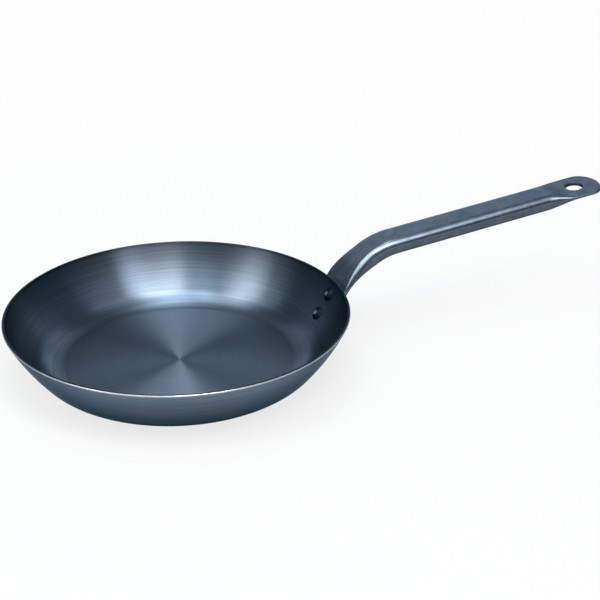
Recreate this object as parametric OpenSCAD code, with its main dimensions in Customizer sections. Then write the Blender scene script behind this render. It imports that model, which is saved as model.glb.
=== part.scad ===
// Pressed steel frying pan with a hollow, flattened tube handle held by two rivets.
// The origin is the centre of the underside of the base. The handle runs along +X.

/* [Bowl] */
// Outside diameter at the rim
rim_d = 240; // [220:1:280]
// Height from the table to the rim
bowl_h = 41; // [38:0.5:46]
// Diameter of the flat base
base_d = 161; // [150:1:168]
// Thickness of the steel sheet
sheet_t = 2; // [1.5:0.1:2.5]
// Outside radius where the base turns up into the wall
corner_r = 25; // [18:1:28]
// Outside radius of the gently bowed wall, seen in section
wall_r = 155; // [120:5:300]

/* [Handle] */
// Width of the oval tube
tube_w = 26; // [24:0.5:28]
// Height of the oval tube
tube_h = 12; // [11:0.5:14]
// Radius of the tube's four shoulders
shoulder_r = 5.3; // [4:0.1:6.5]
// Wall of the tube, half the thickness of its flattened ends
tube_wall = 1.2; // [1:0.1:1.6]
// Width of the tube where it is flattened
flat_w = 34.5; // [31:0.5:36]
// Radius of the bend over the rim, along the top of the tube
bend_r = 53; // [48:1:60]
// Slope of the straight run above the level, in degrees
rise = 6.8; // [4:0.1:10]
// Distance from the bowl's axis to the tip of the handle
reach = 333; // [320:0.5:380]

/* [Riveted pad] */
// Length of the pad on the wall, measured down from the rim
pad_len = 36; // [33:0.5:37]
// Depth of the pad's rounded end
pad_round = 13; // [10:0.5:17]
// Distance below the rim at which the pad starts to open into the tube
pad_open = 5.5; // [0:0.5:6]
// Length over which the pad opens into the full oval
pad_blend = 38; // [30:1:44]

/* [Hanging tab] */
// Length of the fully flat tab
tab_len = 26; // [26:0.5:34]
// Length over which the oval closes into the tab
tab_blend = 23; // [20:1:34]
// Depth of the tab's rounded end
tab_round = 12; // [10:0.5:16]
// Drop of the tab below the top of the tube
tab_drop = 3.2; // [1:0.1:5]
// Diameter of the hanging hole
hang_d = 12.5; // [8:0.5:14]
// Distance from the centre of the hanging hole to the tip
hang_edge = 19.4; // [15:0.1:20]

/* [Rivets] */
// Diameter of a rivet's shank and of the hole it fills
shank_d = 6; // [4:0.5:6.5]
// Diameter of the conical head inside the bowl
head_d = 10; // [8:0.5:12]
// Height of the conical head
head_h = 2.3; // [1.5:0.1:3]
// Diameter of the flat on top of the conical head
head_flat_d = 4; // [2:0.5:6]
// Diameter of the domed head outside the pad
dome_d = 10; // [8:0.5:12]
// Height of the domed head
dome_h = 2; // [1.4:0.1:2.4]
// Distance along the wall from the rim to the upper rivet
rivet_drop = 10.5; // [9:0.5:13]
// Distance along the wall between the rivets
rivet_pitch = 16.5; // [14:0.5:18]

/* [Hidden] */

$fn = 128;
steel_blue = [0.33, 0.39, 0.46];
steel_grey = [0.36, 0.41, 0.47];
rivet_grey = [0.30, 0.35, 0.41];

// Slack that lets a cutting shape pass a face, and a trimmed shape start behind it
pass = 1;
seat_overlap = 0.6;
hair = 0.01;
// Room between the pad's flat facets and the round wall behind them
seat_gap = 0.05;

rim_r = rim_d / 2;
base_r = base_d / 2;

// The wall's arc touches the corner's arc and ends at the rim
corner_centre = [base_r, corner_r];
rim_span = [rim_r, bowl_h] - corner_centre;
radius_step = wall_r - corner_r;
touch_cos = (wall_r ^ 2 - radius_step ^ 2 - rim_span * rim_span) / (2 * radius_step * norm(rim_span));
touch_angle = atan2(rim_span.y, rim_span.x) - acos(touch_cos);
wall_centre = corner_centre - radius_step * [cos(touch_angle), sin(touch_angle)];
rim_angle = atan2(bowl_h - wall_centre.y, rim_r - wall_centre.x);

// Angle on the wall's arc at a distance below the rim
function wall_angle(drop) = rim_angle - drop / wall_r * 180 / PI;

// Flattened ends, and the perimeter that the tube keeps from end to end
flat_t = 2 * tube_wall;
round_share = 0.92;
function perimeter(half_w, half_h, r) = 4 * (half_w + half_h) - (8 - 2 * PI) * r;
tube_corner = min(shoulder_r, round_share * tube_h / 2);
tube_perimeter = perimeter(tube_w / 2, tube_h / 2, tube_corner);

// The top line of the handle: up the wall, over the bend and out along the straight run.
// The bend starts a little above the rim, so that the tube lifts clear of it.
wall_slope = rim_angle + 90;
bend_len = bend_r * (wall_slope - rise) * PI / 180;
bend_lead = 1.75;
rim_point = [rim_r, bowl_h] + seat_gap * [cos(rim_angle), sin(rim_angle)];
bend_start = rim_point + bend_lead * [cos(wall_slope), sin(wall_slope)];
bend_centre = bend_start + bend_r * [sin(wall_slope), -cos(wall_slope)];
bend_end = bend_centre + bend_r * [-sin(rise), cos(rise)];
bend_end_s = bend_lead + bend_len;
tip_depth = tab_drop + flat_t / 2;
tip_s = bend_end_s + (reach - bend_end.x - tip_depth * sin(rise)) / cos(rise);
tab_s = tip_s - tab_len;

// Point of the top line as [x, z, slope], at a distance s along it from the rim
function top_line(s) =
    s < 0 ? on_wall(wall_angle(-s))
    : s < bend_lead ? along(rim_point, wall_slope, s)
    : s < bend_end_s ? on_bend(wall_slope - (s - bend_lead) / bend_r * 180 / PI)
    : along(bend_end, rise, s - bend_end_s);
function on_wall(a) = [
    wall_centre.x + (wall_r + seat_gap) * cos(a),
    wall_centre.y + (wall_r + seat_gap) * sin(a),
    a + 90
];
function on_bend(slope) = [bend_centre.x - bend_r * sin(slope), bend_centre.y + bend_r * cos(slope), slope];
function along(from, slope, s) = [from.x + s * cos(slope), from.y + s * sin(slope), slope];

// Share from 0 to 1 between two distances, eased at both ends
function share(s, from, to) = min(1, max(0, (s - from) / (to - from)));
function ease(s, from, to) = let (t = share(s, from, to)) t * t * (3 - 2 * t);
function mix(a, b, t) = a + (b - a) * t;

// How flat the tube is and how far its top drops
function pad_flat(s) = 1 - ease(s, -pad_open, pad_blend - pad_open);
function tab_flat(s) = ease(s, tab_s - tab_blend, tab_s);
function flatness(s) = max(pad_flat(s), tab_flat(s));
function half_height(s) = mix(tube_h, flat_t, flatness(s)) / 2;
function drop(s) = tab_drop * tab_flat(s);

// Half the width: the perimeter stays, apart from what the press spreads at the flat ends
function corner(s) = min(shoulder_r, round_share * half_height(s));
function kept_half_width(half_h, r) = (tube_perimeter + (8 - 2 * PI) * r) / 4 - half_h;
press_spread = flat_w / 2 - kept_half_width(flat_t / 2, round_share * flat_t / 2);
function full_half_width(s) = kept_half_width(half_height(s), corner(s)) + press_spread * flatness(s);

// Both ends are drawn in round
function end_round(s, end, depth) = sqrt(max(0, 1 - (1 - share(abs(end - s), 0, depth)) ^ 2));
function half_width(s) = max(
    half_height(s),
    full_half_width(s) * min(end_round(s, -pad_len, pad_round), end_round(s, tip_s, tab_round))
);

// Outline of the tube's section at s as [across, up] points, inside its skin by an inset
corner_steps = 5;
flat_steps = 6;
function section(s, inset) =
    let (
        w = half_width(s) - inset,
        h = half_height(s) - inset,
        r = min(max(corner(s) - inset, round_share * h / 2), round_share * h)
    )
    [
        for (quarter = [0 : 3]) each [
            for (i = [0 : corner_steps])
                let (a = 90 * (quarter + i / corner_steps))
                [
                    (quarter % 3 == 0 ? 1 : -1) * (w - r) + r * cos(a),
                    (quarter < 2 ? 1 : -1) * (h - r) + r * sin(a)
                ],
            if (quarter % 2 == 0) for (i = [1 : flat_steps - 1])
                [(1 - quarter) * (w - r) * (1 - 2 * i / flat_steps), (1 - quarter) * h]
        ]
    ];

// The section set out in space, wrapped round the bowl's axis as far as it follows the wall
function ring(s, inset) =
    let (line = top_line(s), k = pad_flat(s) / line.x)
    [
        for (p = section(s, inset))
            let (
                depth = drop(s) + half_height(s) - p.y,
                x = line.x + depth * sin(line.z),
                z = line.y - depth * cos(line.z),
                round_r = k > 0 ? 1 / k + x - line.x : 0,
                turn = p.x * k * 180 / PI
            )
            k > 0 ? [x - round_r * (1 - cos(turn)), round_r * sin(turn), z] : [x, p.x, z]
    ];

// Distances along the top line at which the section is set out, closest where it changes most
end_steps = 9;
function end_stations(depth) = [for (i = [0 : end_steps]) depth * (1 - cos(90 * i / end_steps))];
function evenly(from, to, steps) = [for (i = [1 : steps]) mix(from, to, i / steps)];
stations = concat(
    [for (d = end_stations(pad_round)) d - pad_len],
    evenly(pad_round - pad_len, -pad_open, 5),
    evenly(-pad_open, pad_blend - pad_open, 14),
    evenly(pad_blend - pad_open, bend_end_s, 7),
    evenly(bend_end_s, tab_s - tab_blend, 4),
    evenly(tab_s - tab_blend, tab_s, 13),
    evenly(tab_s, tip_s - tab_round, 2),
    [for (i = [1 : end_steps]) tip_s - end_stations(tab_round)[end_steps - i]]
);

// The tube is open inside wherever its walls stand apart
least_opening = 0.7;
open_stations = [for (s = stations) if (half_height(s) - tube_wall > least_opening) s];

// Skin through the sections at the given distances
module loft(distances, inset) {
    rings = [for (s = distances) ring(s, inset)];
    count = len(rings[0]);
    last = len(rings) - 1;
    sides = [
        for (i = [0 : last - 1])
            for (j = [0 : count - 1])
                let (
                    a = i * count + j,
                    b = i * count + (j + 1) % count
                )
                each [[a, b + count, b], [a, a + count, b + count]]
    ];
    near_cap = [for (j = [0 : count - 1]) j];
    far_cap = [for (j = [count - 1 : -1 : 0]) last * count + j];
    polyhedron([for (r = rings) each r], concat(sides, [near_cap, far_cap]));
}

// Everything inside the bowl's outer surface moved inwards by an inset, up to a given height.
// The corner's arc stands proud by a hair, so that it crosses the base and the wall's arc cleanly.
module filled_profile(inset, top) {
    touch_z = corner_centre.y + (corner_r - inset) * sin(touch_angle);
    translate([0, inset])
        square([base_r, top - inset]);
    intersection() {
        translate(corner_centre)
            circle(corner_r - inset + hair);
        translate([base_r - pass, inset])
            square([rim_r, corner_r - inset]);
    }
    intersection() {
        translate(wall_centre)
            circle(wall_r - inset);
        translate([base_r - pass, touch_z])
            square([rim_r, top - touch_z]);
    }
}

// Profiles are revolved from +Y, so that the seam of the round wall lies clear of the rivets
module revolve() {
    rotate([0, 0, 90])
        rotate_extrude()
            children();
}

module bowl_shell() {
    revolve()
        difference() {
            filled_profile(0, bowl_h);
            filled_profile(sheet_t, bowl_h + pass);
        }
}

// Children stand on the wall's arc, with +Z pointing outwards and the arc's centre at z = 0
module on_wall_arc(drop) {
    translate([wall_centre.x, 0, wall_centre.y])
        rotate([0, 90 - wall_angle(drop), 0])
            children();
}

module rivet_hole(drop) {
    on_wall_arc(drop)
        translate([0, 0, wall_r - sheet_t - pass])
            cylinder(d = shank_d, h = sheet_t + flat_t + seat_gap + 2 * pass);
}

module both_rivet_holes() {
    rivet_hole(rivet_drop);
    rivet_hole(rivet_drop + rivet_pitch);
}

// Conical head seated on the inside of the wall
module inner_head(drop) {
    inside = wall_r - sheet_t;
    difference() {
        on_wall_arc(drop) {
            translate([0, 0, inside - head_h])
                cylinder(d1 = head_flat_d, d2 = head_d, h = head_h - seat_overlap / 2);
            translate([0, 0, inside - seat_overlap / 2])
                cylinder(d = head_d, h = seat_overlap);
        }
        bowl_shell();
    }
}

// Domed head seated on the outside of the pad
module outer_head(drop) {
    outside = wall_r + seat_gap + flat_t;
    dome_r = (dome_d ^ 2 / 4 + dome_h ^ 2) / (2 * dome_h);
    difference() {
        on_wall_arc(drop)
            intersection() {
                translate([0, 0, outside + dome_h - dome_r])
                    sphere(dome_r);
                translate([0, 0, outside - seat_overlap])
                    cylinder(d = dome_d, h = dome_h + 2 * seat_overlap);
            }
        revolve()
            filled_profile(-seat_gap - flat_t, bowl_h + tube_w);
    }
}

module rivet(drop) {
    color(rivet_grey) {
        inner_head(drop);
        on_wall_arc(drop)
            translate([0, 0, wall_r - sheet_t - seat_overlap / 2])
                cylinder(d = shank_d, h = sheet_t + seat_gap + flat_t + seat_overlap);
        outer_head(drop);
    }
}

module pan_bowl() {
    color(steel_blue)
        difference() {
            bowl_shell();
            both_rivet_holes();
        }
}

module handle_tube() {
    hole = along(bend_end, rise, tip_s - hang_edge - bend_end_s);
    color(steel_grey)
        difference() {
            loft(stations, 0);
            loft(open_stations, tube_wall);
            both_rivet_holes();
            translate([hole.x, 0, hole.y])
                rotate([0, -rise, 0])
                    translate([0, 0, -tip_depth])
                        cylinder(d = hang_d, h = tube_h, center = true);
        }
}

module rivet_upper() {
    rivet(rivet_drop);
}

module rivet_lower() {
    rivet(rivet_drop + rivet_pitch);
}

pan_bowl();
handle_tube();
rivet_upper();
rivet_lower();
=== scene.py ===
"""A blued steel frying pan with a hollow tube handle, dressed over its CAD frame."""
import logging
import math
from dataclasses import dataclass, field
from enum import Enum
from functools import reduce

import bmesh
import bpy
from bpy.types import ID, Material, Mesh, NodeSocket, NodeTree, Object
from mathutils import Euler, Matrix, Vector


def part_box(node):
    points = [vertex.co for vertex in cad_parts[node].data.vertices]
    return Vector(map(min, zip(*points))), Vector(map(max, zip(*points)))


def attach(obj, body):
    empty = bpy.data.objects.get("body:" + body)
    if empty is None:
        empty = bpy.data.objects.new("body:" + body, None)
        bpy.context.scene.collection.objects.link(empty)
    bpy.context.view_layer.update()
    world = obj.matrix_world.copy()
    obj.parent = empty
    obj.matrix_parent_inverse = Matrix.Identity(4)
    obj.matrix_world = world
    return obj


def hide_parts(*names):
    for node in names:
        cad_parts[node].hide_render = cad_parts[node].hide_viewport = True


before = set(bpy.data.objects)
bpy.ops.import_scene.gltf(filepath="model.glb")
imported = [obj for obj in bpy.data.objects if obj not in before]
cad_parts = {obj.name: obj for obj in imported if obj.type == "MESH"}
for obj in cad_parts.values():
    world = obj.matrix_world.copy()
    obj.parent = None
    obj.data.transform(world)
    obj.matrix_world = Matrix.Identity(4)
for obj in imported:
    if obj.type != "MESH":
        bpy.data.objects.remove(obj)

LOG = logging.getLogger("frying_pan")
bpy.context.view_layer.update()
WELD_DISTANCE = 1e-6
SLIVER_LENGTH = 1e-7

Pair = tuple[float, float]
Triple = tuple[float, float, float]
Colour = tuple[float, float, float, float]
Marks = dict[str, list[float]]

WHITE: Colour = (1.0, 1.0, 1.0, 1.0)


class Node(Enum):
    """The CAD nodes that the dressed pieces stand for."""

    BOWL = "pan_bowl"
    HANDLE = "handle_tube"
    RIVET_UPPER = "rivet_upper"
    RIVET_LOWER = "rivet_lower"


class Slot(Enum):
    """The record's material slots."""

    PAN = "pan_steel"
    HANDLE = "handle_steel"
    RIVET = "rivet_steel"


class Kind(Enum):
    """The kinds of socket on the node groups."""

    VALUE = "NodeSocketFloat"
    COUNT = "NodeSocketInt"
    VECTOR = "NodeSocketVector"
    COLOUR = "NodeSocketColor"
    SHAPE = "NodeSocketGeometry"
    OBJECT = "NodeSocketObject"
    FINISH = "NodeSocketMaterial"


def mix(a: float, b: float, share: float) -> float:
    """The value a share of the way from a to b."""
    return a + (b - a) * share


def mix_pair(a: Pair, b: Pair, share: float) -> Pair:
    """The point a share of the way from a to b."""
    return (mix(a[0], b[0], share), mix(a[1], b[1], share))


def clamp(value: float) -> float:
    """The value held between 0 and 1."""
    return min(1.0, max(0.0, value))


def ease(value: float, start: float, end: float) -> float:
    """The share of the way from start to end, eased at both ends."""
    share = clamp((value - start) / (end - start))
    return share * share * (3 - 2 * share)


def polar(centre: Pair, radius: float, angle: float) -> Pair:
    """The point at a distance and an angle from a centre."""
    return (centre[0] + radius * math.cos(angle), centre[1] + radius * math.sin(angle))


def arc(centre: Pair, radius: float, start: float, end: float, steps: int) -> list[Pair]:
    """Points on an arc, from its first angle to its last, in radians."""
    return [polar(centre, radius, mix(start, end, i / steps)) for i in range(steps + 1)]


def eased_corner(start: Pair, corner: Pair, end: Pair, steps: int) -> list[Pair]:
    """Points that turn a sharp corner into a soft one.

    Args:
        start: Where the soft corner begins.
        corner: The sharp corner that it replaces.
        end: Where the soft corner finishes.
        steps: How many stretches the corner is cut into.

    Returns:
        The points from start to end, both included.
    """
    points = []
    for i in range(steps + 1):
        t = i / steps
        weights = ((1 - t) ** 2, 2 * t * (1 - t), t * t)
        points.append(tuple(sum(w * p[k] for w, p in zip(weights, (start, corner, end))) for k in (0, 1)))
    return points


def linked(name: str, data: ID) -> Object:
    """A new object in the scene.

    Args:
        name: Name of the object.
        data: The mesh, lamp or camera that it shows.

    Returns:
        The object.
    """
    made = bpy.data.objects.new(name, data)
    bpy.context.scene.collection.objects.link(made)
    return made


def mark_points(mesh: Mesh, marks: Marks) -> None:
    """Puts a value on each point of a mesh for every named mark."""
    for mark, values in marks.items():
        mesh.attributes.new(mark, "FLOAT", "POINT").data.foreach_set("value", values)


def polyline_object(name: str, points: list[Pair], marks: Marks) -> Object:
    """A chain of edges in the XY plane.

    Args:
        name: Name of the object.
        points: The chain's points.
        marks: Values for the points, by attribute name.

    Returns:
        The new object.
    """
    mesh = bpy.data.meshes.new(name)
    edges = [(i, i + 1) for i in range(len(points) - 1)]
    mesh.from_pydata([(x, y, 0.0) for x, y in points], edges, [])
    mark_points(mesh, marks)
    return linked(name, mesh)


def closed_skin(name: str, rings: list[list[Vector]]) -> Mesh:
    """A skin through rings of points, with a flat cap on each end.

    Args:
        name: Name of the mesh.
        rings: The rings in order, each with the same number of points.

    Returns:
        The new mesh.
    """
    count = len(rings[0])
    points = [point for ring in rings for point in ring]
    faces = []
    for first in range(0, len(points) - count, count):
        for j in range(count):
            a, b = first + j, first + (j + 1) % count
            faces.append((a, b, b + count, a + count))
    faces.append(tuple(range(count - 1, -1, -1)))
    faces.append(tuple(range(len(points) - count, len(points))))
    mesh = bpy.data.meshes.new(name)
    mesh.from_pydata(points, [], faces)
    return mesh


def evaluated_mesh(source: Object) -> Mesh:
    """The plain mesh that an object's modifiers make.

    Args:
        source: The object.

    Returns:
        A mesh of its own.
    """
    bpy.context.view_layer.update()
    graph = bpy.context.evaluated_depsgraph_get()
    return bpy.data.meshes.new_from_object(source.evaluated_get(graph), depsgraph=graph)


def finished_piece(name: str, mesh: Mesh, material: Material) -> Object:
    """A piece at the origin with smooth faces that point outwards.

    Args:
        name: Name of the piece.
        mesh: Its mesh, in the frame's coordinates.
        material: Its finish.

    Returns:
        The new object.
    """
    shape = bmesh.new()
    shape.from_mesh(mesh)
    bmesh.ops.remove_doubles(shape, verts=shape.verts, dist=WELD_DISTANCE)
    bmesh.ops.dissolve_degenerate(shape, edges=shape.edges, dist=SLIVER_LENGTH)
    bmesh.ops.recalc_face_normals(shape, faces=shape.faces)
    for face in shape.faces:
        face.smooth = True
        face.material_index = 0
    shape.to_mesh(mesh)
    shape.free()
    mesh.name = name
    mesh.materials.clear()
    mesh.materials.append(material)
    return linked(name, mesh)


class Bench:
    """Lays out nodes in one tree and joins them."""

    def __init__(self, tree: NodeTree) -> None:
        """Starts work on a tree."""
        self.tree = tree

    def join(self, source: NodeSocket, target: NodeSocket) -> None:
        """Joins an output to an input."""
        self.tree.links.new(source, target)

    def fill(self, node: bpy.types.Node, inputs: dict) -> None:
        """Sets the inputs of a node.

        Args:
            node: The node.
            inputs: A value or an output socket for each input, by name or index.
        """
        for name, value in inputs.items():
            if isinstance(value, NodeSocket):
                self.join(value, node.inputs[name])
            else:
                node.inputs[name].default_value = value

    def add(self, kind: str, inputs: dict | None = None, **settings: object) -> bpy.types.Node:
        """Adds a node.

        Args:
            kind: The node's type.
            inputs: A value or an output socket for each input, by name or index.
            settings: The node's own settings.

        Returns:
            The new node.
        """
        node = self.tree.nodes.new(kind)
        for name, value in settings.items():
            setattr(node, name, value)
        self.fill(node, inputs or {})
        return node

    def group(self, tree: NodeTree, inputs: dict) -> bpy.types.Node:
        """A shader node group with its own values."""
        return self.add("ShaderNodeGroup", inputs, node_tree=tree)

    def math(self, operation: str, *values: float | NodeSocket) -> NodeSocket:
        """The result of one sum on numbers or sockets."""
        return self.add("ShaderNodeMath", dict(enumerate(values)), operation=operation).outputs[0]

    def product(self, *values: NodeSocket) -> NodeSocket:
        """The product of several values."""
        return reduce(lambda a, b: self.math("MULTIPLY", a, b), values)

    def vector(self, operation: str, *values: object) -> bpy.types.Node:
        """A node that does one sum on vectors."""
        return self.add("ShaderNodeVectorMath", dict(enumerate(values)), operation=operation)

    def scaled(self, vector: object, factor: float | NodeSocket) -> NodeSocket:
        """A vector or a colour times a factor."""
        return self.add("ShaderNodeVectorMath", {0: vector, "Scale": factor}, operation="SCALE").outputs[0]

    def ranged(self, value: NodeSocket, start: float, end: float, low: float, high: float) -> NodeSocket:
        """A value from start to end mapped to the range from low to high."""
        limits = {"From Min": start, "From Max": end, "To Min": low, "To Max": high}
        return self.add("ShaderNodeMapRange", {"Value": value} | limits).outputs[0]

    def spread(self, value: NodeSocket, low: float, high: float) -> NodeSocket:
        """A value from 0 to 1 mapped to the range from low to high."""
        return self.ranged(value, 0.0, 1.0, low, high)

    def between(self, share: NodeSocket, a: float | NodeSocket, b: NodeSocket) -> NodeSocket:
        """A value between two values."""
        return self.add("ShaderNodeMix", {0: share, 2: a, 3: b}).outputs[0]

    def blend(self, share: NodeSocket, a: object, b: object) -> NodeSocket:
        """A colour between two colours."""
        return self.add("ShaderNodeMix", {0: share, 6: a, 7: b}, data_type="RGBA").outputs[2]

    def place(self) -> NodeSocket:
        """The point that is shaded, in the piece's own coordinates."""
        return self.add("ShaderNodeTexCoord").outputs["Object"]

    def mark(self, name: str) -> NodeSocket:
        """A mark on the points of the piece."""
        return self.add("ShaderNodeAttribute", attribute_name=name).outputs["Fac"]

    def noise(self, place: NodeSocket, scale: float | NodeSocket, detail: float = 2.0) -> NodeSocket:
        """Soft noise at a point."""
        inputs = {"Vector": place, "Scale": scale, "Detail": detail}
        return self.add("ShaderNodeTexNoise", inputs).outputs[0]

    def bump(self, height: NodeSocket, depth: float) -> NodeSocket:
        """The normal of a surface with a height on it."""
        inputs = {"Height": height, "Strength": 1.0, "Distance": depth}
        return self.add("ShaderNodeBump", inputs).outputs[0]


def node_group(
    name: str, kind: str, inputs: dict[str, Kind], outputs: dict[str, Kind]
) -> tuple[Bench, dict[str, NodeSocket], dict[str, NodeSocket]]:
    """An empty node group with named sockets.

    Args:
        name: Name of the group.
        kind: Type of its tree.
        inputs: Kind of each input, by name.
        outputs: Kind of each output, by name.

    Returns:
        The bench for the group, its inputs' sockets inside, and its outputs' sockets inside.
    """
    tree = bpy.data.node_groups.new(name, kind)
    for side, sockets in (("INPUT", inputs), ("OUTPUT", outputs)):
        for socket, socket_kind in sockets.items():
            tree.interface.new_socket(socket, in_out=side, socket_type=socket_kind.value)
    entry = tree.nodes.new("NodeGroupInput")
    leave = tree.nodes.new("NodeGroupOutput")
    return Bench(tree), {s: entry.outputs[s] for s in inputs}, {s: leave.inputs[s] for s in outputs}


class Effects:
    """Surface effects that the finishes share, each a shader node group."""

    broad_share = 1.6
    patch_detail = 4.0
    cloud_detail = 5.0
    cloud_limits = (0.3, 0.7)

    def __init__(self) -> None:
        """Builds every group once."""
        self.grain = self._grain()
        self.edge_polish = self._edge_polish()
        self.patina = self._patina()

    def _grain(self) -> NodeTree:
        """Fine and broad brush marks, long along the grain and short across it.

        Returns:
            The group.
        """
        inputs = {"Along": Kind.VECTOR} | dict.fromkeys(("Across", "Fine Pitch", "Broad Pitch"), Kind.VALUE)
        outputs = dict.fromkeys(("Fine", "Broad", "Height"), Kind.VALUE)
        bench, given, result = node_group("brush_grain", "ShaderNodeTree", inputs, outputs)
        marks = {}
        for name, stretch, detail in (("Fine", 1.0, 2.0), ("Broad", 0.35, 3.0)):
            steps = bench.math("DIVIDE", given["Across"], given[f"{name} Pitch"])
            across = bench.add("ShaderNodeCombineXYZ", {"Z": steps}).outputs[0]
            along = bench.scaled(given["Along"], stretch)
            marks[name] = bench.noise(bench.vector("ADD", along, across).outputs[0], 1.0, detail)
            bench.join(marks[name], result[name])
        both = bench.math("MULTIPLY_ADD", marks["Broad"], self.broad_share, marks["Fine"])
        bench.join(both, result["Height"])
        return bench.tree

    def _edge_polish(self) -> NodeTree:
        """Where a cut or rubbed edge shows bright metal, broken up along its length.

        Returns:
            The group.
        """
        inputs = {"Vector": Kind.VECTOR} | dict.fromkeys(("Edge", "Patch Size", "Break"), Kind.VALUE)
        bench, given, result = node_group("edge_polish", "ShaderNodeTree", inputs, {"Mask": Kind.VALUE})
        scale = bench.math("DIVIDE", 1.0, given["Patch Size"])
        patches = bench.noise(given["Vector"], scale, self.patch_detail)
        kept = bench.math("SUBTRACT", given["Edge"], bench.math("MULTIPLY", patches, given["Break"]))
        bench.join(bench.add("ShaderNodeClamp", {"Value": kept}).outputs[0], result["Mask"])
        return bench.tree

    def _patina(self) -> NodeTree:
        """Soft clouds of tone in the blued skin of the steel.

        Returns:
            The group.
        """
        inputs = {"Vector": Kind.VECTOR, "Cloud Size": Kind.VALUE, "Deep": Kind.COLOUR, "Pale": Kind.COLOUR}
        outputs = {"Color": Kind.COLOUR, "Cloud": Kind.VALUE}
        bench, given, result = node_group("blued_patina", "ShaderNodeTree", inputs, outputs)
        scale = bench.math("DIVIDE", 1.0, given["Cloud Size"])
        haze = bench.noise(given["Vector"], scale, self.cloud_detail)
        cloud = bench.ranged(haze, *self.cloud_limits, 0.0, 1.0)
        bench.join(cloud, result["Cloud"])
        bench.join(bench.blend(cloud, given["Deep"], given["Pale"]), result["Color"])
        return bench.tree


def empty_material(name: str) -> tuple[Material, Bench, bpy.types.Node]:
    """A material that holds only its shader.

    Args:
        name: Name of the material.

    Returns:
        The material, the bench for its nodes, and its shader.
    """
    material = bpy.data.materials.new(name)
    material.use_nodes = True
    material.node_tree.nodes.clear()
    bench = Bench(material.node_tree)
    shader = bench.add("ShaderNodeBsdfPrincipled")
    bench.add("ShaderNodeOutputMaterial", {"Surface": shader.outputs[0]})
    return material, bench, shader


@dataclass(frozen=True, kw_only=True)
class BluedSteel:
    """What the steel finishes share: a blued skin in two tones, rubbed bare in places."""

    deep: Colour
    pale: Colour
    bare: Colour
    cloud_size: float
    patch_size: float
    patch_break: float
    unevenness: float
    edge_tint: Colour = (0.32, 0.37, 0.42, 1.0)

    def skin(self, bench: Bench, effects: Effects, tone: float | NodeSocket) -> NodeSocket:
        """The colour of the steel.

        Args:
            bench: The material's bench.
            effects: The shared node groups.
            tone: What the blued colour is multiplied by.

        Returns:
            The toned colour, bare where the piece is marked as polished.
        """
        place = bench.place()
        tones = {"Cloud Size": self.cloud_size, "Deep": self.deep, "Pale": self.pale}
        blued = bench.group(effects.patina, {"Vector": place} | tones)
        patches = {"Edge": bench.mark("polish"), "Patch Size": self.patch_size, "Break": self.patch_break}
        rubbed = bench.group(effects.edge_polish, {"Vector": place} | patches)
        toned = bench.scaled(blued.outputs["Color"], tone)
        return bench.blend(rubbed.outputs["Mask"], toned, self.bare)

    def around(self, roughness: float) -> float:
        """The lowest roughness of a surface that is uneven around a level."""
        return roughness - self.unevenness / 2

    def dress(
        self,
        bench: Bench,
        shader: bpy.types.Node,
        colour: NodeSocket,
        gloss: tuple[NodeSocket, float | NodeSocket],
        normal: NodeSocket,
    ) -> None:
        """Joins the steel's nodes to its shader.

        Args:
            bench: The material's bench.
            shader: The material's shader.
            colour: Colour of the metal.
            gloss: The marks that make the roughness uneven, and its lowest level.
            normal: The marked surface's normal.
        """
        roughness = bench.math("MULTIPLY_ADD", gloss[0], self.unevenness, gloss[1])
        bench.fill(shader, {"Base Color": colour, "Roughness": roughness, "Normal": normal})
        bench.fill(shader, {"Metallic": 1.0, "Specular Tint": self.edge_tint})


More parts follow.
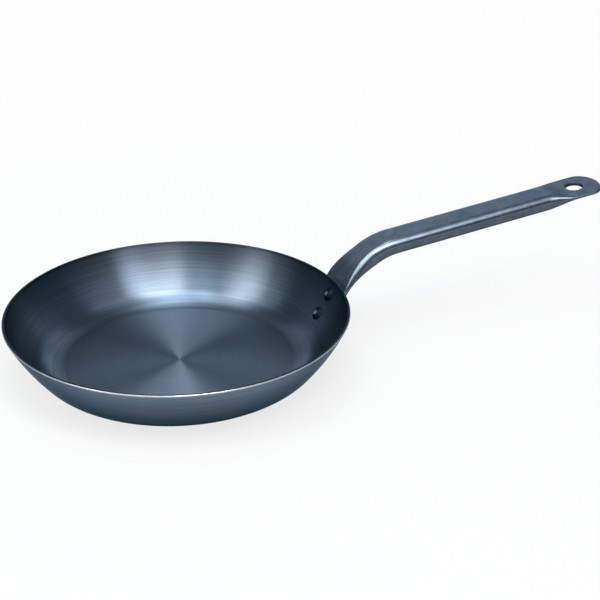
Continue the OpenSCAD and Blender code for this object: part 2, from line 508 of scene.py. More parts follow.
@dataclass(frozen=True, kw_only=True)
class RingBrushedSteel(BluedSteel):
    """Sheet steel brushed in rings round the bowl's axis, with a bare edge on its dark cut rim, painted
    shade outside and a painted highlight low on the inner wall.
    """

    floor_edge: float
    rim_height: float
    deep: Colour = (0.156, 0.212, 0.282, 1.0)
    pale: Colour = (0.197, 0.257, 0.334, 1.0)
    bare: Colour = (0.90, 0.94, 0.98, 1.0)
    cloud_size: float = 0.09
    patch_size: float = 0.012
    patch_break: float = 0.5
    unevenness: float = 0.1
    edge_blur: float = 0.0003
    floor_roughness: float = 0.40
    wall_roughness: float = 0.31
    anisotropy: float = 0.85
    floor_streak: float = 0.35
    wall_streak: float = 1.0
    foot_painted_shade: float = 0.12
    lip_painted_shade: float = 0.9
    cut_shade: float = 0.4
    painted_light_height: float = 0.017
    painted_highlight_tone: float = 1.1
    painted_rim_shade: float = 0.52
    fine_pitch: float = 0.0003
    broad_pitch: float = 0.0008
    strands_round: float = 3.5
    groove_depth: float = 0.00001

    def material(self, effects: Effects) -> Material:
        """Builds the material.

        Args:
            effects: The shared node groups.

        Returns:
            The material.
        """
        made, bench, shader = empty_material("ring_brushed_steel")
        x, y, height = bench.add("ShaderNodeSeparateXYZ", {0: bench.place()}).outputs
        outward = bench.add("ShaderNodeCombineXYZ", {"X": x, "Y": y}).outputs[0]
        radius = bench.vector("LENGTH", outward).outputs["Value"]
        bearing = bench.vector("NORMALIZE", outward).outputs[0]
        along, across = bench.scaled(bearing, self.strands_round), bench.math("ADD", radius, height)
        pitches = {"Fine Pitch": self.fine_pitch, "Broad Pitch": self.broad_pitch}
        grain = bench.group(effects.grain, {"Along": along, "Across": across} | pitches).outputs
        start, end = self.floor_edge - self.edge_blur, self.floor_edge + self.edge_blur
        wall = bench.ranged(radius, start, end, 0.0, 1.0)
        depth = bench.spread(wall, self.floor_streak, self.wall_streak)
        streak = bench.math("MULTIPLY_ADD", bench.math("SUBTRACT", grain["Broad"], 0.5), depth, 1.0)
        # painted shade: the outside steel is darkened from the lip down to the foot and the underside, in
        # place of the shadowed floor's reflection
        outer = bench.ranged(height, 0.0, self.rim_height, self.foot_painted_shade, self.lip_painted_shade)
        # painted light: the inner wall is painted paler low down as a highlight, and darker up to the rim as
        # shade
        tones = (self.painted_highlight_tone, self.painted_rim_shade)
        rubbed = bench.ranged(height, self.painted_light_height, self.rim_height, *tones)
        side = bench.between(bench.mark("inside"), outer, bench.between(wall, 1.0, rubbed))
        cut = bench.spread(bench.mark("cut"), 1.0, self.cut_shade)
        colour = self.skin(bench, effects, bench.product(side, cut, streak))
        level = bench.spread(wall, self.around(self.floor_roughness), self.around(self.wall_roughness))
        normal = bench.bump(grain["Height"], self.groove_depth)
        self.dress(bench, shader, colour, (grain["Fine"], level), normal)
        bench.fill(shader, {"Tangent": outward, "Anisotropic": self.anisotropy})
        return made


@dataclass(frozen=True, kw_only=True)
class SatinTubeSteel(BluedSteel):
    """Tube steel rubbed smooth on top, with painted shade on its lower side and in the hanging hole."""

    hole_centre: Vector
    hole_axis: Vector
    hole_radius: float
    deep: Colour = (0.222, 0.29, 0.372, 1.0)
    pale: Colour = (0.265, 0.34, 0.426, 1.0)
    bare: Colour = (0.30, 0.38, 0.47, 1.0)
    cloud_size: float = 0.035
    patch_size: float = 0.006
    patch_break: float = 0.5
    unevenness: float = 0.08
    roughness: float = 0.31
    under_start: float = 0.12
    under_end: float = 0.45
    under_painted_shade: float = 0.36
    hole_painted_shade: float = 0.25
    hole_lip: float = 0.0006
    streak: float = 0.1
    mottle: float = 0.16
    mottle_size: float = 0.006
    fine_pitch: float = 0.0005
    broad_pitch: float = 0.0022
    strand_length: float = 0.05
    groove_depth: float = 0.0000015

    def material(self, effects: Effects) -> Material:
        """Builds the material.

        Args:
            effects: The shared node groups.

        Returns:
            The material.
        """
        made, bench, shader = empty_material("satin_tube_steel")
        place = bench.place()
        x = bench.add("ShaderNodeSeparateXYZ", {0: place}).outputs[0]
        strands = bench.math("DIVIDE", x, self.strand_length)
        along = bench.add("ShaderNodeCombineXYZ", {"X": strands}).outputs[0]
        pitches = {"Fine Pitch": self.fine_pitch, "Broad Pitch": self.broad_pitch}
        sides = {"Along": along, "Across": bench.mark("girth")}
        grain = bench.group(effects.grain, sides | pitches).outputs
        blotch = bench.group(effects.patina, {"Vector": place, "Cloud Size": self.mottle_size}).outputs
        # painted shade: the lower side of the tube is darkened below the shoulder, and the hanging hole
        # within its lip
        tone = bench.product(
            bench.spread(grain["Broad"], 1 - self.streak, 1 + self.streak),
            bench.spread(blotch["Cloud"], 1 - self.mottle, 1 + self.mottle),
            bench.ranged(bench.mark("under"), self.under_start, self.under_end, 1.0, self.under_painted_shade),
            self.painted_shade_in_hole(bench, place),
        )
        colour = self.skin(bench, effects, tone)
        gloss = (grain["Fine"], self.around(self.roughness))
        self.dress(bench, shader, colour, gloss, bench.bump(grain["Height"], self.groove_depth))
        return made

    def painted_shade_in_hole(self, bench: Bench, place: NodeSocket) -> NodeSocket:
        """The painted shade in the hanging hole.

        Args:
            bench: The material's bench.
            place: The point that is shaded.

        Returns:
            Full tone away from the hole, and painted shade within its lip.
        """
        offset = bench.vector("SUBTRACT", place, tuple(self.hole_centre)).outputs[0]
        lift = bench.vector("DOT_PRODUCT", offset, tuple(self.hole_axis)).outputs["Value"]
        away = bench.vector("DISTANCE", offset, bench.scaled(tuple(self.hole_axis), lift)).outputs["Value"]
        lip = self.hole_radius + self.hole_lip
        return bench.ranged(away, lip - self.hole_lip / 2, lip, self.hole_painted_shade, 1.0)


@dataclass(frozen=True, kw_only=True)
class RivetSteel(BluedSteel):
    """Rivet steel under dull blue-black scale, rubbed bare on the crown."""

    deep: Colour = (0.012, 0.023, 0.034, 1.0)
    pale: Colour = (0.018, 0.032, 0.046, 1.0)
    bare: Colour = (0.50, 0.57, 0.64, 1.0)
    edge_tint: Colour = (0.14, 0.18, 0.22, 1.0)
    cloud_size: float = 0.004
    patch_size: float = 0.002
    patch_break: float = 0.3
    unevenness: float = 0.1
    roughness: float = 0.55
    dimple_size: float = 0.0012
    dimple_depth: float = 0.00006

    def material(self, effects: Effects) -> Material:
        """Builds the material.

        Args:
            effects: The shared node groups.

        Returns:
            The material.
        """
        made, bench, shader = empty_material("black_scaled_rivet")
        dimples = bench.noise(bench.place(), 1 / self.dimple_size)
        gloss = (dimples, self.around(self.roughness))
        colour = self.skin(bench, effects, 1.0)
        self.dress(bench, shader, colour, gloss, bench.bump(dimples, self.dimple_depth))
        return made


@dataclass(frozen=True)
class PaleFloor:
    """Matt pale floor with a faint tooth."""

    colour: Colour = (0.85, 0.87, 0.89, 1.0)
    shaded: Colour = (0.83, 0.85, 0.87, 1.0)
    roughness: float = 0.9
    tooth_size: float = 0.004
    near_glow: float = 0.78
    far_glow: float = 0.97
    glow_start: float = 0.12
    glow_end: float = 0.6

    def material(self) -> Material:
        """Builds the material: the camera and the metal see the floor part way to white.

        Returns:
            The material.
        """
        made, bench, shader = empty_material("pale_floor")
        place = bench.place()
        tooth = bench.noise(place, 1 / self.tooth_size)
        bench.fill(shader, {"Base Color": bench.blend(tooth, self.shaded, self.colour)})
        bench.fill(shader, {"Roughness": self.roughness, "Specular IOR Level": 0.0})
        path = bench.add("ShaderNodeLightPath").outputs
        seen = bench.math("MAXIMUM", path["Is Camera Ray"], path["Is Glossy Ray"])
        seen = bench.math("MAXIMUM", seen, path["Is Transmission Ray"])
        away = bench.vector("LENGTH", place).outputs["Value"]
        glow = bench.ranged(away, self.glow_start, self.glow_end, self.near_glow, self.far_glow)
        white = bench.add("ShaderNodeEmission", {"Color": WHITE, "Strength": 1.0})
        share = bench.math("MULTIPLY", seen, glow)
        both = bench.add("ShaderNodeMixShader", {0: share, 1: shader.outputs[0], 2: white.outputs[0]})
        leave = next(n for n in bench.tree.nodes if n.type == "OUTPUT_MATERIAL")
        bench.join(both.outputs[0], leave.inputs["Surface"])
        return made


class Spinner:
    """Geometry Nodes that spin a section round an axis, once or at every seat."""

    sizes = {"Spin Radius": Kind.VALUE, "Segments": Kind.COUNT}
    outcome = {"Geometry": Kind.SHAPE}

    def __init__(self) -> None:
        """Builds the shared spin group and the two trees that use it."""
        self.spin = self._spin()
        self.bowl_tree = self._bowl_tree()
        self.seat_tree = self._seat_tree()

    def _spin(self) -> NodeTree:
        """A section in the XY plane, X outwards and Y along the axis, swept round the axis and welded.

        Returns:
            The group.
        """
        bench, given, result = node_group(
            "spin_section", "GeometryNodeTree", {"Section": Kind.SHAPE} | self.sizes, self.outcome
        )
        curve = bench.add("GeometryNodeMeshToCurve", {0: given["Section"]}).outputs[0]
        round_axis = {"Resolution": given["Segments"], "Radius": given["Spin Radius"]}
        circle = bench.add("GeometryNodeCurvePrimitiveCircle", round_axis)
        upright = bench.add("GeometryNodeSetCurveNormal", {"Curve": circle.outputs[0]}, mode="Z_UP")
        inwards = bench.math("MULTIPLY", given["Spin Radius"], -1.0)
        back = bench.add("ShaderNodeCombineXYZ", {"X": inwards}).outputs[0]
        turned = {"Geometry": curve, "Translation": back, "Scale": (1.0, -1.0, 1.0)}
        centred = bench.add("GeometryNodeTransform", turned).outputs[0]
        sweep = {"Curve": upright.outputs[0], "Profile Curve": centred}
        swept = bench.add("GeometryNodeCurveToMesh", sweep).outputs[0]
        welded = bench.add("GeometryNodeMergeByDistance", {"Geometry": swept, "Distance": WELD_DISTANCE})
        bench.join(welded.outputs[0], result["Geometry"])
        return bench.tree

    def _spun(self, bench: Bench, section: NodeSocket, given: dict[str, NodeSocket]) -> NodeSocket:
        """A section spun inside another tree, at that tree's own sizes."""
        inputs = {"Section": section} | {name: given[name] for name in self.sizes}
        return bench.add("GeometryNodeGroup", inputs, node_tree=self.spin).outputs[0]

    @staticmethod
    def _dressed(bench: Bench, shape: NodeSocket, finish: NodeSocket) -> NodeSocket:
        """A shape whose instances are real and have their material."""
        real = bench.add("GeometryNodeRealizeInstances", {0: shape}).outputs[0]
        return bench.add("GeometryNodeSetMaterial", {"Geometry": real, "Material": finish}).outputs[0]

    def _bowl_tree(self) -> NodeTree:
        """One spun sheet about the Z axis.

        Returns:
            The tree.
        """
        inputs = {"Geometry": Kind.SHAPE} | self.sizes | {"Finish": Kind.FINISH}
        bench, given, result = node_group("spun_bowl", "GeometryNodeTree", inputs, self.outcome)
        spun = self._spun(bench, given["Geometry"], given)
        bench.join(self._dressed(bench, spun, given["Finish"]), result["Geometry"])
        return bench.tree

    def _seat_tree(self) -> NodeTree:
        """One spun fastener set on every seat point, leaning as the seat does.

        Returns:
            The tree.
        """
        inputs = {"Geometry": Kind.SHAPE, "Section": Kind.OBJECT} | self.sizes | {"Finish": Kind.FINISH}
        bench, given, result = node_group("riveted_seats", "GeometryNodeTree", inputs, self.outcome)
        section = bench.add("GeometryNodeObjectInfo", {"Object": given["Section"]}).outputs["Geometry"]
        lean = bench.add("GeometryNodeInputNamedAttribute", {"Name": "lean"}, data_type="FLOAT")
        tilt = bench.add("ShaderNodeCombineXYZ", {"Y": lean.outputs[0]}).outputs[0]
        turn = bench.add("FunctionNodeEulerToRotation", {0: tilt}).outputs[0]
        seats = bench.add("GeometryNodeMeshToPoints", {0: given["Geometry"]}).outputs[0]
        fastener = {"Points": seats, "Instance": self._spun(bench, section, given), "Rotation": turn}
        placed = bench.add("GeometryNodeInstanceOnPoints", fastener)
        bench.join(self._dressed(bench, placed.outputs[0], given["Finish"]), result["Geometry"])
        return bench.tree

    @staticmethod
    def run(source: Object, tree: NodeTree, values: dict[str, object]) -> Mesh:
        """Runs a tree on an object and keeps the result as a plain mesh.

        Args:
            source: The object that the tree starts from, which is removed.
            tree: The Geometry Nodes tree.
            values: A value for each of the tree's named inputs.

        Returns:
            The finished mesh.
        """
        modifier = source.modifiers.new(tree.name, "NODES")
        modifier.node_group = tree
        names = {s.name: s.identifier for s in tree.interface.items_tree if s.in_out == "INPUT"}
        for name, value in values.items():
            modifier[names[name]] = value
        mesh = evaluated_mesh(source)
        source.modifiers.remove(modifier)
        bpy.data.objects.remove(source, do_unlink=True)
        return mesh


@dataclass
class PanBowl:
    """The bowl pressed from one steel sheet: flat base, round corner, bowed wall and plain cut rim."""

    rim_radius: float
    height: float
    base_radius: float = 0.0805
    sheet: float = 0.002
    corner_radius: float = 0.025
    wall_radius: float = 0.155
    rim_round: float = 0.0010
    rim_break: float = 0.0002
    segments: int = 288
    floor_rings: int = 8
    arc_steps: int = 16
    round_steps: int = 6
    break_steps: int = 4
    corner_centre: Pair = field(init=False)
    wall_centre: Pair = field(init=False)
    touch_angle: float = field(init=False)
    rim_angle: float = field(init=False)

    def __post_init__(self) -> None:
        """Works out the arc of the wall, which touches the corner's arc and ends at the rim."""
        self.corner_centre = (self.base_radius, self.corner_radius)
        across = self.rim_radius - self.base_radius
        up = self.height - self.corner_radius
        span = math.hypot(across, up)
        step = self.wall_radius - self.corner_radius
        touch = (self.wall_radius ** 2 - step ** 2 - span ** 2) / (2 * step * span)
        self.touch_angle = math.atan2(up, across) - math.acos(touch)
        self.wall_centre = polar(self.corner_centre, -step, self.touch_angle)
        self.rim_angle = self.angle_at(self.wall_radius, self.height)

    def angle_at(self, radius: float, height: float) -> float:
        """Angle at which an arc round the wall's centre reaches a height."""
        return math.asin((height - self.wall_centre[1]) / radius)

    def wall_point(self, drop: float, offset: float) -> Triple:
        """A place on the wall.

        Args:
            drop: Distance along the wall below the rim.
            offset: Distance outwards from the outer surface.

        Returns:
            Distance from the axis, height, and the angle of the outward direction.
        """
        angle = self.rim_angle - drop / self.wall_radius
        return (*polar(self.wall_centre, self.wall_radius + offset, angle), angle)

    def flank(self, inset: float) -> list[Pair]:
        """The corner and the wall of one side of the sheet, from the base up to just below the rim.

        Args:
            inset: Distance inwards from the outer surface.

        Returns:
            Points as distance from the axis and height.
        """
        reach = self.wall_radius - inset
        top = self.angle_at(reach, self.height - (self.rim_break if inset else self.rim_round))
        bottom, touch, steps = -math.pi / 2, self.touch_angle, self.arc_steps
        corner = arc(self.corner_centre, self.corner_radius - inset, bottom, touch, steps)
        return corner + arc(self.wall_centre, reach, touch, top, steps)[1:]

    def rim_edge(self, inset: float) -> Pair:
        """The sharp edge that one side of the sheet would make with the cut rim."""
        reach = self.wall_radius - inset
        return (polar(self.wall_centre, reach, self.angle_at(reach, self.height))[0], self.height)

    def section(self) -> tuple[list[Pair], Marks]:
        """The sheet's section from the middle of the underside, over the rim, to the middle of the floor.

        Returns:
            The points, and their marks: polish on the rounded outer edge, inside on the inner side of the
            sheet and cut on the flat of the rim.
        """
        rings = [self.base_radius * i / self.floor_rings for i in range(self.floor_rings)]
        under = [(r, 0.0) for r in rings] + self.flank(0.0)
        inner = self.flank(self.sheet)[::-1] + [(r, self.sheet) for r in rings[::-1]]
        outer_edge, inner_edge = self.rim_edge(0.0), self.rim_edge(self.sheet)
        outer_flat = (outer_edge[0] - self.rim_round, self.height)
        inner_flat = (inner_edge[0] + self.rim_break, self.height)
        outer_turn = eased_corner(under[-1], outer_edge, outer_flat, self.round_steps)
        inner_turn = eased_corner(inner_flat, inner_edge, inner[0], self.break_steps)
        stretches = (
            (under[:-1] + outer_turn[:1], (0.0, 0.0, 0.0)),
            (outer_turn[1:-1], (1.0, 0.0, 0.0)),
            (outer_turn[-1:] + inner_turn[:-1], (0.0, 0.0, 1.0)),
            (inner_turn[-1:], (0.0, 1.0, 1.0)),
            (inner[1:], (0.0, 1.0, 0.0)),
        )
        points = [point for stretch, _ in stretches for point in stretch]
        values = [marks for stretch, marks in stretches for _ in stretch]
        return points, dict(zip(("polish", "inside", "cut"), map(list, zip(*values))))

    def build(self, spinner: Spinner, finish: Material) -> Object:
        """Spins the sheet and sets it on the frame.

        Args:
            spinner: The Geometry Nodes trees.
            finish: The bowl's material.

        Returns:
            The finished piece.
        """
        source = polyline_object("bowl_section", *self.section())
        values = {"Spin Radius": self.rim_radius, "Segments": self.segments, "Finish": finish}
        piece = finished_piece("brushed_bowl", spinner.run(source, spinner.bowl_tree, values), finish)
        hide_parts(Node.BOWL.value)
        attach(piece, "root")
        return piece


@dataclass
class TubeHandle:
    """The oval tube, flattened into a pad on the wall and into a hanging tab at the tip."""

    bowl: PanBowl
    far_end: float
    tube_width: float = 0.026
    tube_height: float = 0.012
    shoulder: float = 0.0053
    tube_wall: float = 0.0012
    flat_width: float = 0.0345
    bend_radius: float = 0.053
    rise: float = math.radians(6.8)
    bend_lead: float = 0.00175
    seat_gap: float = 0.00005
    pad_length: float = 0.036
    pad_round: float = 0.013
    pad_open: float = 0.0055
    pad_blend: float = 0.038
    tab_length: float = 0.026
    tab_blend: float = 0.023
    tab_round: float = 0.012
    tab_drop: float = 0.0032
    hole_radius: float = 0.00625
    hole_edge: float = 0.0194
    hole_roll: float = 0.0007
    round_share: float = 0.92
    edge_start: float = 0.6
    least_curl: float = 1e-6
    corner_steps: int = 12
    flat_steps: int = 12
    end_steps: int = 16
    hole_steps: int = 96
    roll_steps: int = 6

    def __post_init__(self) -> None:
        """Works out the handle's top line and the perimeter that the tube keeps."""
        self.flat_height = 2 * self.tube_wall
        self.corner_loss = 8 - 2 * math.pi
        full_corner = self.corner(self.tube_height / 2)
        self.perimeter = 2 * (self.tube_width + self.tube_height) - self.corner_loss * full_corner
        flat_corner = self.round_share * self.flat_height / 2
        self.spread = self.flat_width / 2 - self.kept_half_width(self.flat_height / 2, flat_corner)
        x, z, angle = self.bowl.wall_point(0.0, self.seat_gap)
        self.wall_slope = angle + math.pi / 2
        self.rim_point = (x, z)
        start = self.along(self.rim_point, self.wall_slope, self.bend_lead)
        self.bend_centre = (start[0] + self.bend_radius * math.sin(self.wall_slope),
                            start[1] - self.bend_radius * math.cos(self.wall_slope))
        self.bend_end = self.on_bend(self.rise)
        self.bend_end_s = self.bend_lead + self.bend_radius * (self.wall_slope - self.rise)
        self.tab_depth = self.tab_drop + self.flat_height / 2
        tab_bottom = self.tab_depth + self.flat_height / 2
        run = self.far_end - self.bend_end[0] - tab_bottom * math.sin(self.rise)
        self.tip_s = self.bend_end_s + run / math.cos(self.rise)
        self.tab_s = self.tip_s - self.tab_length

    def corner(self, half_height: float) -> float:
        """Radius of the section's corners at half a height."""
        return min(self.shoulder, self.round_share * half_height)

    def kept_half_width(self, half_height: float, corner: float) -> float:
        """Half the width that the kept perimeter leaves at a height."""
        return (self.perimeter + self.corner_loss * corner) / 4 - half_height

    @staticmethod
    def along(start: Pair, slope: float, distance: float) -> Triple:
        """A point on a straight line, with its slope."""
        return (*polar(start, distance, slope), slope)

    def on_bend(self, slope: float) -> Triple:
        """The point of the bend that has a slope."""
        return (self.bend_centre[0] - self.bend_radius * math.sin(slope),
                self.bend_centre[1] + self.bend_radius * math.cos(slope), slope)

    def top_line(self, s: float) -> Triple:
        """The handle's top line: up the wall, over the bend and out along the straight run.

        Args:
            s: Distance along the line from the rim.

        Returns:
            Distance from the bowl's axis, height and slope.
        """
        if s < 0:
            x, z, angle = self.bowl.wall_point(-s, self.seat_gap)
            return (x, z, angle + math.pi / 2)
        if s < self.bend_lead:
            return self.along(self.rim_point, self.wall_slope, s)
        if s < self.bend_end_s:
            return self.on_bend(self.wall_slope - (s - self.bend_lead) / self.bend_radius)
        return self.along(self.bend_end, self.rise, s - self.bend_end_s)

    def pad_flat(self, s: float) -> float:
        """How far the tube is flattened towards the pad."""
        return 1 - ease(s, -self.pad_open, self.pad_blend - self.pad_open)

    def tab_flat(self, s: float) -> float:
        """How far the tube is flattened towards the tab."""
        return ease(s, self.tab_s - self.tab_blend, self.tab_s)

    def flatness(self, s: float) -> float:
        """How far the tube is flattened towards either end."""
        return max(self.pad_flat(s), self.tab_flat(s))

    def half_height(self, s: float) -> float:
        """Half the thickness of the handle."""
        return mix(self.tube_height, self.flat_height, self.flatness(s)) / 2

    def half_width(self, s: float) -> float:
        """Half the width of the handle, drawn in round at both ends.

        Args:
            s: Distance along the top line from the rim.

        Returns:
            The half width, never less than half the thickness.
        """
        height = self.half_height(s)
        full = self.kept_half_width(height, self.corner(height)) + self.spread * self.flatness(s)
        ends = ((s + self.pad_length) / self.pad_round, (self.tip_s - s) / self.tab_round)
        drawn = min(math.sqrt(max(0.0, 1 - (1 - clamp(e)) ** 2)) for e in ends)
        return max(height, full * drawn)

    def section(self, s: float) -> list[Triple]:
        """The section's outline.

        Args:
            s: Distance along the top line from the rim.

        Returns:
            Points as distance across, height above the middle, and distance round the outline.
        """
        width, height = self.half_width(s), self.half_height(s)
        corner = self.corner(height)
        points = []
        for quarter in range(4):
            side = 1 if quarter in (0, 3) else -1
            level = 1 if quarter < 2 else -1
            centre = (side * (width - corner), level * (height - corner))
            turn = quarter * math.pi / 2
            points += arc(centre, corner, turn, turn + math.pi / 2, self.corner_steps)
            if quarter % 2 == 0:
                reach = (1 - quarter) * (width - corner)
                shares = [1 - 2 * i / self.flat_steps for i in range(1, self.flat_steps)]
                points += [(reach * share, (1 - quarter) * height) for share in shares]
        girth, outline = 0.0, []
        for i, (x, y) in enumerate(points):
            girth += math.dist((x, y), points[i - 1]) if i else 0.0
            outline.append((x, y, girth))
        return outline

    def ring(self, s: float) -> list[tuple[Vector, float, float]]:
        """The section set out in space, wrapped round the bowl's axis as far as it follows the wall.

        Args:
            s: Distance along the top line from the rim.

        Returns:
            Each point with its distance round the outline and how far below the top it lies.
        """
        line_x, line_z, slope = self.top_line(s)
        curl = self.pad_flat(s) / line_x
        half = self.half_height(s)
        middle = self.tab_drop * self.tab_flat(s) + half
        placed = []
        for across, up, girth in self.section(s):
            depth = middle - up
            x = line_x + depth * math.sin(slope)
            z = line_z - depth * math.cos(slope)
            if curl > self.least_curl:
                reach = 1 / curl + x - line_x
                turn = across * curl
                point = Vector((x - reach * (1 - math.cos(turn)), reach * math.sin(turn), z))
            else:
                point = Vector((x, across, z))
            placed.append((point, girth, (half - up) / (2 * half)))
        return placed

    def stations(self) -> list[float]:
        """Where the section is set out.

        Returns:
            Distances along the top line, closer together where the handle changes shape.
        """
        quarter = [1 - math.cos(math.pi / 2 * i / self.end_steps) for i in range(self.end_steps + 1)]
        stretches = (
            (self.pad_round - self.pad_length, -self.pad_open, 8),
            (-self.pad_open, self.bend_end_s, 44),
            (self.bend_end_s, self.tab_s - self.tab_blend, 12),
            (self.tab_s - self.tab_blend, self.tab_s, 28),
            (self.tab_s, self.tip_s - self.tab_round, 4),
        )
        distances = [self.pad_round * q - self.pad_length for q in quarter]
        for start, end, steps in stretches:
            distances += [mix(start, end, i / steps) for i in range(1, steps + 1)]
        return distances + [self.tip_s - self.tab_round * q for q in quarter[-2::-1]]

    def loft(self) -> Mesh:
        """The closed skin through all the sections.

        Returns:
            A mesh with the marks girth, under and polish on its points.
        """
        stations = self.stations()
        rings = [self.ring(s) for s in stations]
        mesh = closed_skin("handle_skin", [[point for point, _, _ in ring] for ring in rings])
        count = len(rings[0])
        rubbed = [clamp(2 * self.flatness(s) - 1) for s in stations]
        mark_points(mesh, {
            "girth": [girth for ring in rings for _, girth, _ in ring],
            "under": [under for ring in rings for _, _, under in ring],
            "polish": [share * self.on_edge(j, count) for share in rubbed for j in range(count)],
        })
        return mesh

    def on_edge(self, index: int, count: int) -> float:
        """How close a point of the outline lies to one of the tube's two folded edges."""
        turn = 2 * math.pi * (index + 0.5) / count
        return max(0.0, abs(math.cos(turn)) - self.edge_start)

    def hole_place(self) -> tuple[Vector, Vector]:
        """Where the hanging hole is.

        Returns:
            The middle of the hole and the direction of its axis.
        """
        x, z, slope = self.along(self.bend_end, self.rise, self.tip_s - self.hole_edge - self.bend_end_s)
        axis = Vector((-math.sin(slope), 0, math.cos(slope)))
        return Vector((x, 0, z)) - axis * self.tab_depth, axis

    def hole_cutter(self) -> Object:
        """A spool that cuts the hanging hole and rolls its edges over.

        Returns:
            The spool, closed at both ends.
        """
        half, roll = self.flat_height / 2, self.hole_roll
        past = self.hole_radius + roll
        lower = arc((past, -half + roll), roll, -math.pi / 2, -math.pi, self.roll_steps)
        upper = arc((past, half - roll), roll, math.pi, math.pi / 2, self.roll_steps)
        outline = [(past, -2 * half)] + lower + upper + [(past, 2 * half)]
        centre, _ = self.hole_place()
        turn = Euler((0, -self.rise, 0)).to_matrix()
        angles = [2 * math.pi * i / self.hole_steps for i in range(self.hole_steps)]
        rings = [[turn @ Vector((*polar((0.0, 0.0), r, a), z)) + centre for a in angles] for r, z in outline]
        return linked("hole_cutter", closed_skin("hole_cutter", rings))

    def build(self, finish: Material) -> Object:
        """Lofts the handle, cuts the hanging hole and sets it on the frame.

        Args:
            finish: The handle's material.

        Returns:
            The finished piece.
        """
        uncut = finished_piece("flattened_tube_handle", self.loft(), finish)
        cutter = self.hole_cutter()
        modifier = uncut.modifiers.new("hanging_hole", "BOOLEAN")
        modifier.operation = "DIFFERENCE"
        modifier.solver = "EXACT"
        modifier.object = cutter
        mesh = evaluated_mesh(uncut)
        uncut.modifiers.remove(modifier)
        for spent in (cutter, uncut):
            bpy.data.objects.remove(spent, do_unlink=True)
        piece = finished_piece("flattened_tube_handle", mesh, finish)
        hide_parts(Node.HANDLE.value)
        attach(piece, "root")
        return piece


@dataclass
class RivetPair:
    """Two rivets through wall and pad, coned inside the bowl and domed outside."""

    bowl: PanBowl
    pad_thickness: float
    shank_radius: float = 0.003
    head_radius: float = 0.005
    head_height: float = 0.0023
    crown_radius: float = 0.002
    skirt: float = 0.0004
    brow_start: float = 0.6
    brow_share: float = 0.3
    foot_share: float = 0.15
    dome_radius: float = 0.005
    dome_height: float = 0.002
    sunk: float = 0.0002
    first_drop: float = 0.0105
    pitch: float = 0.0165
    crown_rub: float = 0.9
    dome_rub: float = 0.5
    rubbed_points: int = 3
    brow_steps: int = 5
    foot_steps: int = 4
    dome_steps: int = 10
    segments: int = 64

    def section(self) -> tuple[list[Pair], Marks]:
        """The rivet's section from the crown of its inner head to the crown of its dome.

        Returns:
            Points as distance from the rivet's axis and outwards from the wall, and their mark polish.
        """
        inner, outer = -self.bowl.sheet, self.pad_thickness
        crown = inner - self.head_height
        top, foot = (self.crown_radius, crown), (self.head_radius, inner - self.skirt)
        brow = eased_corner((self.crown_radius * self.brow_start, crown), top,
                            mix_pair(top, foot, self.brow_share), self.brow_steps)
        hem = eased_corner(mix_pair(foot, top, self.foot_share), foot,
                           (self.head_radius, inner), self.foot_steps)
        head = [(0.0, crown)] + brow + hem + [(self.head_radius, inner + self.sunk)]
        shank = [(self.shank_radius, inner + self.sunk), (self.shank_radius, outer - self.sunk)]
        ball = (self.dome_radius ** 2 + self.dome_height ** 2) / (2 * self.dome_height)
        rise, upright = math.asin(self.dome_radius / ball), math.pi / 2
        dome = arc((0.0, outer + self.dome_height - ball), ball, upright - rise, upright, self.dome_steps)
        tail = [(self.dome_radius, outer - self.sunk)] + dome[:-1] + [(0.0, outer + self.dome_height)]
        points = head + shank + tail
        ends = self.rubbed_points
        plain = [0.0] * (len(points) - 2 * ends)
        return points, {"polish": [self.crown_rub] * ends + plain + [self.dome_rub] * ends}

    def build(self, spinner: Spinner, finish: Material) -> Object:
        """Sets a rivet on each seat down the wall.

        Args:
            spinner: The Geometry Nodes trees.
            finish: The rivets' material.

        Returns:
            The finished piece.
        """
        seats = [self.bowl.wall_point(self.first_drop + i * self.pitch, 0.0) for i in range(2)]
        mesh = bpy.data.meshes.new("rivet_seats")
        mesh.from_pydata([(x, 0.0, z) for x, z, _ in seats], [], [])
        mark_points(mesh, {"lean": [math.pi / 2 - angle for _, _, angle in seats]})
        section = polyline_object("rivet_section", *self.section())
        sizes = {"Spin Radius": self.head_radius, "Segments": self.segments}
        values = {"Section": section, "Finish": finish} | sizes
        made = spinner.run(linked("rivet_seats", mesh), spinner.seat_tree, values)
        bpy.data.objects.remove(section, do_unlink=True)
        piece = finished_piece("rivet_pair", made, finish)
        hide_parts(Node.RIVET_UPPER.value, Node.RIVET_LOWER.value)
        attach(piece, "root")
        return piece


@dataclass(frozen=True)
class Softbox:
    """A soft lamp that faces the pan, given by where and how large the pan sees it, in degrees."""

    name: str
    bearing: float
    elevation: float
    wide: float
    tall: float
    radiance: float
    tint: Triple = (1.0, 1.0, 1.0)
    distance: float = 1.65

    def side(self, angle: float) -> float:
        """The length that spans an angle, in degrees, at the lamp's distance."""
        return 2 * self.distance * math.tan(math.radians(angle) / 2)

    def place(self, target: Vector, right: Vector, ahead: Vector) -> None:
        """Hangs the lamp, with its width level.

        Args:
            target: The point that it faces.
            right: Level direction to the camera's right.
            ahead: Level direction away from the camera, from which the bearing turns to the right.
        """
        lamp = bpy.data.lights.new(self.name, "AREA")
        lamp.shape = "RECTANGLE"
        lamp.size = self.side(self.wide)
        lamp.size_y = self.side(self.tall)
        lamp.energy = self.radiance * math.pi * lamp.size * lamp.size_y
        lamp.color = self.tint
        turn, lift = math.radians(self.bearing), math.radians(self.elevation)
        level = right * math.sin(turn) + ahead * math.cos(turn)
        back = level * math.cos(lift) + Vector((0, 0, math.sin(lift)))
        across = Vector((0, 0, 1)).cross(back).normalized()
        made = linked(self.name, lamp)
        made.location = target + back * self.distance
        made.rotation_euler = Matrix((across, back.cross(across), back)).transposed().to_euler()


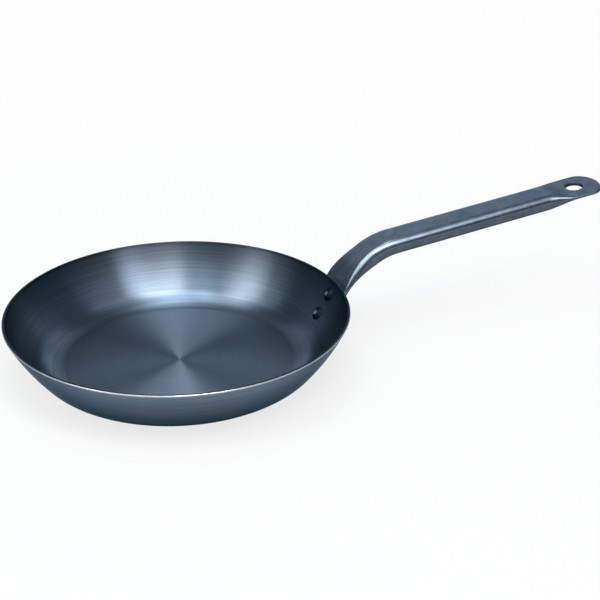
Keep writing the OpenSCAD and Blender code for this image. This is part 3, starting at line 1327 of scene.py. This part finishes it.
@dataclass
class Studio:
    """The camera at the photograph's place, a pale floor and soft lamps."""

    rim_centre: Vector
    handle_bearing: float = math.radians(21.7)
    pitch: float = math.radians(25.92)
    rim_right: float = -0.08475
    rim_up: float = -0.00665
    rim_ahead: float = 0.9302
    focal_pixels: float = 1344.0
    image_pixels: float = 600.0
    sensor: float = 36.0
    near_clip: float = 0.01
    floor_half: float = 8.0
    floor_gap: float = 0.0003
    world_colour: Colour = (0.085, 0.11, 0.135, 1.0)
    lamps: tuple[Softbox, ...] = (
        Softbox("key", 157.0, 60.0, 25.0, 14.0, 8.6, (1.0, 0.87, 0.77)),
        Softbox("overhead", 178.0, 76.0, 34.0, 22.0, 3.95, (0.88, 0.97, 1.0)),
        Softbox("left_window", 246.0, 48.0, 19.0, 30.0, 3.9, (1.0, 0.94, 0.87)),
        Softbox("right_window", 133.0, 48.0, 12.0, 24.0, 4.2, (1.0, 0.92, 0.94)),
        Softbox("top_left", 285.0, 72.0, 36.0, 20.0, 1.7),
        Softbox("top_back", 0.0, 70.0, 8.0, 26.0, 3.5, (0.92, 0.98, 1.0)),
        Softbox("right_fill", 98.0, 56.0, 28.0, 32.0, 0.6),
        Softbox("left_fill", 270.0, 46.0, 14.0, 30.0, 0.85),
        Softbox("back_low", 0.0, 15.0, 40.0, 16.0, 0.85),
        Softbox("back_wall", 0.0, 26.0, 86.0, 38.0, 0.28),
        Softbox("gap_fill", 203.0, 55.0, 46.0, 20.0, 0.6),
        Softbox("front_low", 160.0, 16.0, 70.0, 14.0, 0.12),
    )

    def __post_init__(self) -> None:
        """Works out the camera's directions, with the handle along +X."""
        turn = self.handle_bearing
        self.right = Vector((math.cos(turn), -math.sin(turn), 0))
        self.level_ahead = Vector((math.sin(turn), math.cos(turn), 0))
        down = Vector((0, 0, -1))
        self.ahead = self.level_ahead * math.cos(self.pitch) + down * math.sin(self.pitch)
        self.up = self.level_ahead * math.sin(self.pitch) - down * math.cos(self.pitch)

    def place_camera(self) -> None:
        """Puts the scene's camera where the rim has its place in the picture."""
        data = bpy.data.cameras.new("portrait_camera")
        data.sensor_width = self.sensor
        data.lens = self.focal_pixels / self.image_pixels * self.sensor
        data.clip_start = self.near_clip
        camera = linked("portrait_camera", data)
        offset = self.right * self.rim_right + self.up * self.rim_up + self.ahead * self.rim_ahead
        camera.location = self.rim_centre - offset
        camera.rotation_euler = self.ahead.to_track_quat("-Z", "Y").to_euler()
        bpy.context.scene.camera = camera

    def lay_floor(self) -> None:
        """Lays the pale floor under the pan."""
        half = self.floor_half
        mesh = bpy.data.meshes.new("pale_floor")
        corners = [(x * half, y * half, -self.floor_gap) for x, y in ((-1, -1), (1, -1), (1, 1), (-1, 1))]
        mesh.from_pydata(corners, [], [(0, 1, 2, 3)])
        mesh.materials.append(PaleFloor().material())
        floor = linked("pale_floor", mesh)

    def light(self) -> None:
        """Sets the world's level and hangs the lamps."""
        world = bpy.data.worlds.new("studio")
        world.use_nodes = True
        shade = world.node_tree.nodes["Background"]
        shade.inputs["Color"].default_value = self.world_colour
        shade.inputs["Strength"].default_value = 1.0
        bpy.context.scene.world = world
        for lamp in self.lamps:
            lamp.place(self.rim_centre, self.right, self.level_ahead)

    def build(self) -> None:
        """Sets up the camera, the floor and the light."""
        self.place_camera()
        self.lay_floor()
        self.light()
        bpy.context.scene.view_settings.view_transform = "Standard"


def report(piece: Object) -> None:
    """Logs a piece and the faces it has."""
    LOG.info("%s: %d faces", piece.name, len(piece.data.polygons))


def main() -> None:
    """Builds the studio and dresses every piece of the pan."""
    logging.basicConfig(level=logging.INFO)
    bowl_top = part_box(Node.BOWL.value)[1]
    handle_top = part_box(Node.HANDLE.value)[1]
    Studio(rim_centre=Vector((0, 0, bowl_top.z))).build()
    effects = Effects()
    spinner = Spinner()
    bowl = PanBowl(rim_radius=bowl_top.y, height=bowl_top.z)
    handle = TubeHandle(bowl=bowl, far_end=handle_top.x)
    rivets = RivetPair(bowl=bowl, pad_thickness=handle.flat_height + handle.seat_gap)
    centre, axis = handle.hole_place()
    sheet_steel = RingBrushedSteel(floor_edge=bowl.base_radius, rim_height=bowl.height)
    tube_steel = SatinTubeSteel(hole_centre=centre, hole_axis=axis, hole_radius=handle.hole_radius)
    report(bowl.build(spinner, sheet_steel.material(effects)))
    report(handle.build(tube_steel.material(effects)))
    report(rivets.build(spinner, RivetSteel().material(effects)))


if __name__ == "__main__":
    main()
